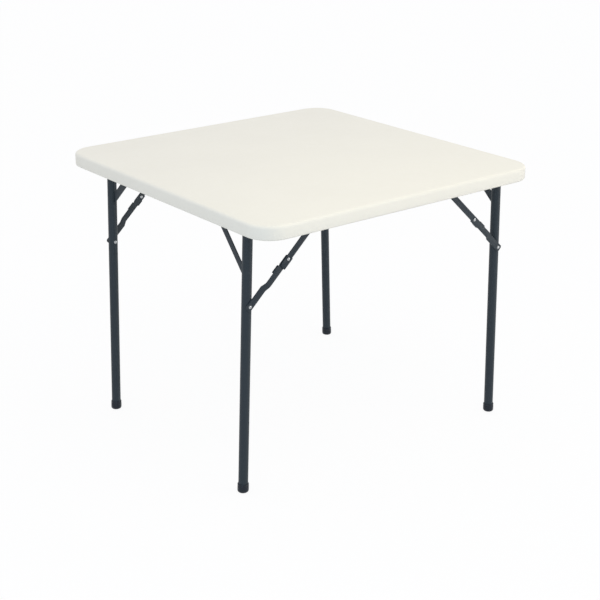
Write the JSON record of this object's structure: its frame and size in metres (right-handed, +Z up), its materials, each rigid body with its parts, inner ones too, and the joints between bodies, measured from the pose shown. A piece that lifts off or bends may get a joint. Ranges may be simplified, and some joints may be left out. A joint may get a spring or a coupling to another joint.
{
  "type": "folding card table",
  "caption": "Square folding card table with a moulded plastic top, round steel legs that fold in nested pairs, and side braces that break at the knee.",
  "frame": {"origin": "on the floor below the middle of the top", "axes": "+Z up; the narrow pair of legs at -X, the wide pair at +X; the front corner of the picture at -X, -Y"},
  "size_m": [0.9, 0.9, 0.74],
  "materials": {
    "top_plastic": "pale cream blow-moulded plastic, fine pebbled grain",
    "frame_paint": "dark slate-grey powder coat",
    "cap_plastic": "near-black moulded plastic",
    "zinc": "bright zinc plate"
  },
  "bodies": {
    "table_top": {"top_panel": "top_plastic", "side_rail_front": "frame_paint", "side_rail_back": "frame_paint", "brace_bracket_front": "frame_paint", "brace_bracket_left": "frame_paint", "brace_bracket_right": "frame_paint", "brace_bracket_back": "frame_paint", "rail_screws": "zinc", "bracket_screws": "zinc", "anchor_rivets": "zinc"},
    "leg_frame_narrow": {"cross_tube_narrow": "frame_paint", "tube_plugs_narrow": "cap_plastic", "leg_rivets_narrow": "zinc", "leg_front": "frame_paint", "strut_front": "frame_paint", "foot_cap_front": "cap_plastic", "leg_left": "frame_paint", "strut_left": "frame_paint", "foot_cap_left": "cap_plastic"},
    "leg_frame_wide": {"cross_tube_wide": "frame_paint", "tube_plugs_wide": "cap_plastic", "leg_rivets_wide": "zinc", "leg_right": "frame_paint", "strut_right": "frame_paint", "foot_cap_right": "cap_plastic", "leg_back": "frame_paint", "strut_back": "frame_paint", "foot_cap_back": "cap_plastic"},
    "upper_brace_front": {"upper_link_front": "frame_paint"},
    "lower_brace_front": {"lower_link_front": "frame_paint", "link_rivet_front": "zinc", "knee_rivet_front": "zinc"},
    "upper_brace_left": {"upper_link_left": "frame_paint"},
    "lower_brace_left": {"lower_link_left": "frame_paint", "link_rivet_left": "zinc", "knee_rivet_left": "zinc"},
    "upper_brace_right": {"upper_link_right": "frame_paint"},
    "lower_brace_right": {"lower_link_right": "frame_paint", "link_rivet_right": "zinc", "knee_rivet_right": "zinc"},
    "upper_brace_back": {"upper_link_back": "frame_paint"},
    "lower_brace_back": {"lower_link_back": "frame_paint", "link_rivet_back": "zinc", "knee_rivet_back": "zinc"}
  },
  "joints": [
    {"name": "leg_fold_narrow", "type": "hinge", "parent": "table_top", "child": "leg_frame_narrow", "pos_m": [-0.392, 0, 0.7035], "axis": [0, -1, 0], "range_deg": [0, 92.03]},
    {"name": "leg_fold_wide", "type": "hinge", "parent": "table_top", "child": "leg_frame_wide", "pos_m": [0.392, 0, 0.7035], "axis": [0, 1, 0], "range_deg": [0, 92.03]},
    {"name": "upper_link_turn_front", "type": "hinge", "parent": "table_top", "child": "upper_brace_front", "pos_m": [-0.186, -0.3338, 0.7035], "axis": [0, -1, 0], "range_deg": [0, 136.83]},
    {"name": "knee_turn_front", "type": "hinge", "parent": "upper_brace_front", "child": "lower_brace_front", "pos_m": [-0.29036, -0.3338, 0.60562], "axis": [0, 1, 0], "range_deg": [0, 180]},
    {"name": "upper_link_turn_left", "type": "hinge", "parent": "table_top", "child": "upper_brace_left", "pos_m": [-0.186, 0.3338, 0.7035], "axis": [0, -1, 0], "range_deg": [0, 136.83]},
    {"name": "knee_turn_left", "type": "hinge", "parent": "upper_brace_left", "child": "lower_brace_left", "pos_m": [-0.29036, 0.3338, 0.60562], "axis": [0, 1, 0], "range_deg": [0, 180]},
    {"name": "upper_link_turn_right", "type": "hinge", "parent": "table_top", "child": "upper_brace_right", "pos_m": [0.186, -0.3893, 0.7035], "axis": [0, 1, 0], "range_deg": [0, 136.83]},
    {"name": "knee_turn_right", "type": "hinge", "parent": "upper_brace_right", "child": "lower_brace_right", "pos_m": [0.29036, -0.3893, 0.60562], "axis": [0, -1, 0], "range_deg": [0, 180]},
    {"name": "upper_link_turn_back", "type": "hinge", "parent": "table_top", "child": "upper_brace_back", "pos_m": [0.186, 0.3893, 0.7035], "axis": [0, 1, 0], "range_deg": [0, 136.83]},
    {"name": "knee_turn_back", "type": "hinge", "parent": "upper_brace_back", "child": "lower_brace_back", "pos_m": [0.29036, 0.3893, 0.60562], "axis": [0, -1, 0], "range_deg": [0, 180]}
  ],
  "couplings": [
    {"joint": "upper_link_turn_front", "follows": "leg_fold_narrow", "ratio": 1.4868},
    {"joint": "knee_turn_front", "follows": "leg_fold_narrow", "ratio": 1.9558},
    {"joint": "upper_link_turn_left", "follows": "leg_fold_narrow", "ratio": 1.4868},
    {"joint": "knee_turn_left", "follows": "leg_fold_narrow", "ratio": 1.9558},
    {"joint": "upper_link_turn_right", "follows": "leg_fold_wide", "ratio": 1.4868},
    {"joint": "knee_turn_right", "follows": "leg_fold_wide", "ratio": 1.9558},
    {"joint": "upper_link_turn_back", "follows": "leg_fold_wide", "ratio": 1.4868},
    {"joint": "knee_turn_back", "follows": "leg_fold_wide", "ratio": 1.9558}
  ]
}
